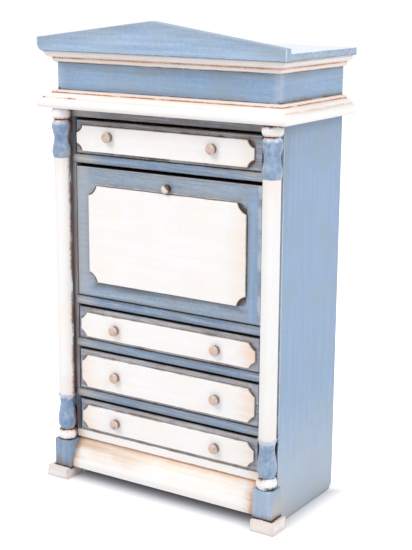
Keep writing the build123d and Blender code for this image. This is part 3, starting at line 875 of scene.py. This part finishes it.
def finish_panel(node, scoop, wall_tint, left_stain, right_stain):
    finish = painted(node, WHITE_PAINT, STROKES_X)
    low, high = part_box(node)
    finish.band(finish.minus(finish.x, low.x), PEACH, width=8, strength=left_stain)
    finish.band(finish.minus(high.x, finish.x), PEACH, width=8, strength=right_stain)
    rim = finish.maths("ABSOLUTE", finish.outline(node, scoop)["Distance"])
    finish.line(rim, TAN, width=0.25, gaps=0.52, strength=0.6)
    wall = finish.step(finish.y, FACE_Y - 0.5 * PANEL_THICKNESS, FACE_Y - 0.3 * PANEL_THICKNESS)
    finish.lay(wall, wall_tint, strength=0.85)
    finish.give(node)


def finish_knobs(node, heart, side_tint, rim):
    finish = Finish(node, STROKES_Y)
    finish.coat(finish.wood(KNOB_WOOD))
    low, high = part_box(node)
    behind = finish.wavy(finish.minus(finish.y, low.y), 0.4 * MM)
    finish.lay(finish.step(behind, 0.5 * MM, 0.1 * MM), heart, strength=0.9)
    marks = use(finish.tree, scuffs, {"Stretch": DABS})
    finish.lay(marks["Dark"], side_tint, strength=0.35)
    # Brown glaze and painted shade on each knob's side wall
    finish.lay(finish.step(behind, rim, rim + 0.5 * MM), side_tint, strength=0.85)
    if node == "flap_knob":  # a dark crescent at its upper right
        # Painted shade: a dark crescent on the flap knob's upper right side
        middle = (low + high) / 2
        aslant = finish.wavy(finish.minus(finish.plus(finish.x, finish.z), middle.x + middle.z), 0.8 * MM)
        finish.lay(finish.step(aslant, 0.8 * MM, 1.3 * MM), UMBER, strength=0.85)
    finish.give(node)


finish_flap()
finish_panel("flap_panel", FLAP_SCOOP, UMBER, left_stain=0.1, right_stain=0.3)
finish_knobs("flap_knob", PALE_HEART, UMBER, rim=0.4 * MM)
for drawer, stains in DRAWERS.items():
    on_top = drawer == "top_drawer"
    scoop, paint, edge_stain = (TOP_SCOOP, GREY_PAINT, 0.9) if on_top else (DRAWER_SCOOP, PALE_GREY, 0.5)
    finish_drawer_front(drawer, scoop, paint, edge_stain)
    finish_panel(f"{drawer}_panel", scoop, MAUVE, *stains)
    finish_knobs(f"{drawer}_knobs", KNOB_HEART, BROWN, rim=0.6 * MM)


# Bare and stained wood, and the hinge pins
def finish_wood(name, strokes, shades, *names):
    finish = Finish(name, strokes)
    finish.coat(finish.wood(shades)).give(*names)


def finish_pins():
    deep = (*[part * BRASS_SHADE for part in BRASS[:3]], 1.0)
    shader = painted("drawn_brass", (deep, BRASS, deep), STROKES_X).give("hinge_pins")
    shader.inputs["Metallic"].default_value = 1.0


finish_wood("back_wood", STROKES_Z, STAINED_WOOD, "back_panel")
finish_wood("frieze_back_wood", STROKES_X, STAINED_WOOD, "frieze_back")
finish_wood("pigeonhole_wood", STROKES_Y, STAINED_WOOD, "pigeonhole_shelf", "pigeonhole_dividers")
for drawer in DRAWERS:
    finish_wood(f"{drawer}_bare", STROKES_Y, BARE_WOOD, f"{drawer}_sides", f"{drawer}_bottom")
    finish_wood(f"{drawer}_back_bare", STROKES_X, BARE_WOOD, f"{drawer}_back")
finish_pins()

# Floor
FLOOR_SIZE = 1.5
FLOOR_PALE = (0.92, 0.92, 0.92, 1.0)
# Painted shade: the floor's own colour turns dark under the desk
FLOOR_SHADE = (0.10, 0.11, 0.17, 1.0)  # under the desk
FLOOR_GLOW = 0.75
SHADE_START = -14 * MM  # outward from the desk's sides, where the dark floor begins to turn pale
SHADE_END = 9 * MM
WHITE_LIGHT = (1.0, 1.0, 1.0, 1.0)
DESK_HALF = Vector((cad_box[1][0], cad_box[1][1]))


def make_floor():
    """A pale floor, white away from the desk, that keeps the desk's shadow and has painted shade under it."""
    mesh = bpy.data.meshes.new("floor")
    shape = bmesh.new()
    bmesh.ops.create_grid(shape, x_segments=1, y_segments=1, size=FLOOR_SIZE)
    shape.to_mesh(mesh)
    shape.free()
    floor = bpy.data.objects.new("floor", mesh)
    bpy.context.collection.objects.link(floor)
    material = bpy.data.materials.new("floor_white")
    material.use_nodes = True
    tree = material.node_tree
    tree.nodes.clear()
    x, y, _ = split(tree, object_place(tree))
    past_side = maths(tree, "SUBTRACT", maths(tree, "ABSOLUTE", x), DESK_HALF.x)
    past_front = maths(tree, "SUBTRACT", maths(tree, "ABSOLUTE", y), DESK_HALF.y)
    open_floor = step(tree, maths(tree, "MAXIMUM", past_side, past_front), SHADE_START, SHADE_END)
    matt = put(tree, "BsdfDiffuse", {"Color": blend(tree, open_floor, FLOOR_SHADE, FLOOR_PALE)})
    glow = maths(tree, "MULTIPLY", maths(tree, "MULTIPLY", open_floor, FLOOR_GLOW), seen_directly(tree))
    light = put(tree, "Emission", {"Color": WHITE_LIGHT, "Strength": glow})
    both = put(tree, "AddShader", {0: matt.outputs[0], 1: light.outputs[0]})
    put(tree, "OutputMaterial", {"Surface": both.outputs[0]})
    mesh.materials.append(material)
    floor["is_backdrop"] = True


make_floor()

# Light
DESK_MIDDLE = Vector((0.0, 0.0, 0.08))
WORLD_SEEN = 1.0
WORLD_LIGHT = 0.5


def add_softbox(name, place, size, power):
    lamp = bpy.data.lights.new(name, "AREA")
    lamp.shape = "DISK"
    lamp.size = size
    lamp.energy = power
    softbox = bpy.data.objects.new(name, lamp)
    softbox.location = place
    softbox.rotation_euler = (DESK_MIDDLE - Vector(place)).to_track_quat("-Z", "Y").to_euler()
    bpy.context.collection.objects.link(softbox)


def make_world():
    """White to the camera and in reflections, softer as a light."""
    world = bpy.data.worlds.new("studio")
    world.use_nodes = True
    tree = world.node_tree
    tree.nodes.clear()
    strength = maths(tree, "MULTIPLY_ADD", seen_directly(tree), WORLD_SEEN - WORLD_LIGHT, WORLD_LIGHT)
    sky = put(tree, "Background", {"Color": WHITE_LIGHT, "Strength": strength})
    put(tree, "OutputWorld", {"Surface": sky.outputs[0]})
    bpy.context.scene.world = world


add_softbox("key_softbox", place=(-0.30, -0.55, 0.75), size=0.5, power=3.9)
add_softbox("side_softbox", place=(0.72, -0.15, 0.62), size=0.6, power=4.0)
make_world()

# Camera, at the photograph's angle
CAMERA_PLACE = (0.22038, -0.33125, 0.16702)
CAMERA_TURN = 0.57626
CAMERA_PITCH = -0.23567
CAMERA_ROLL = 0.00589
LENS = 82.953
NEAREST_SEEN = 0.01
camera_data = bpy.data.cameras.new("camera")
camera_data.lens = LENS
camera_data.clip_start = NEAREST_SEEN
camera = bpy.data.objects.new("camera", camera_data)
aim = Euler((math.pi / 2 + CAMERA_PITCH, 0.0, CAMERA_TURN)).to_matrix() @ Matrix.Rotation(CAMERA_ROLL, 3, "Z")
camera.location = CAMERA_PLACE
camera.rotation_euler = aim.to_euler()
bpy.context.collection.objects.link(camera)
bpy.context.scene.camera = camera
bpy.context.scene.view_settings.view_transform = "Standard"

boxes = {"cad": cad_box, "visual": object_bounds()}
{name: [list(corner) for corner in box] for name, box in boxes.items()}
